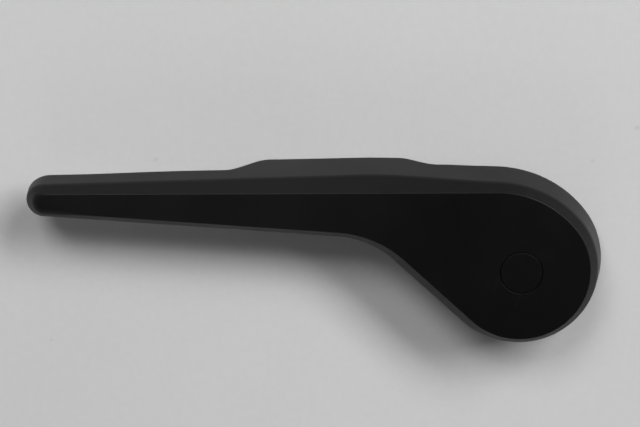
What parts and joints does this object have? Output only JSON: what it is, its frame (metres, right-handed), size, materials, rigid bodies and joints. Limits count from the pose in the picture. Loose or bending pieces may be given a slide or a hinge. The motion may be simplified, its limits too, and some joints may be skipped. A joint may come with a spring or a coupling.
{
  "type": "door release lever handle",
  "caption": "Sprung lever handle with a round hub, long tapering arm and bevelled face, turning on a flanged base with a square spindle socket.",
  "frame": {"origin": "pivot axis of the lever at the mounting plane, which is the back of the base plate", "axes": "+Z along the pivot axis out of the visible face, -X along the arm towards the tip, +Y the way the tip swings when pulled"},
  "size_m": [0.1742, 0.0552, 0.022],
  "materials": {
    "lever_plastic": "black moulded plastic, fine satin grain",
    "cover_plastic": "black moulded plastic, matt",
    "base_plastic": "glass-filled dark grey plastic",
    "bush_plastic": "natural bearing plastic",
    "pressed_steel": "pressed sheet steel, zinc plated",
    "turned_steel": "turned steel",
    "spring_steel": "oiled spring steel",
    "zinc_plated": "bright zinc plating",
    "insert_brass": "knurled brass",
    "buffer_rubber": "matt black rubber",
    "felt": "grey felt",
    "seal_foam": "closed-cell foam"
  },
  "bodies": {
    "base": {"base_plate": "base_plastic", "bearing_bush": "bush_plastic", "wave_washer": "spring_steel", "threaded_inserts": "insert_brass", "rest_buffer": "buffer_rubber", "end_buffer": "buffer_rubber", "anchor_pin": "turned_steel", "base_seal": "seal_foam", "return_spring": "spring_steel"},
    "lever": {"lever_shell": "lever_plastic", "steel_core": "pressed_steel", "core_screws": "zinc_plated", "hub_sleeve": "turned_steel", "spindle_screw": "zinc_plated", "screw_washer": "zinc_plated", "drive_pin": "turned_steel", "arm_damper": "felt", "rear_cover": "cover_plastic", "cover_screws": "zinc_plated", "thrust_washer": "turned_steel", "retaining_ring": "spring_steel"},
    "cap": {"hub_cap": "lever_plastic"}
  },
  "joints": [
    {"name": "lever_pivot", "type": "hinge", "parent": "base", "child": "lever", "pos_m": [0, 0, 0], "axis": [0, 0, -1], "range_deg": [0, 42], "stiffness_Nm_per_rad": 0.5, "springref_deg": -28.65, "deforming": ["return_spring"]},
    {"name": "cap_pull", "type": "slide", "parent": "lever", "child": "cap", "axis": [0, 0, 1], "range_m": [0, 0.01]}
  ]
}
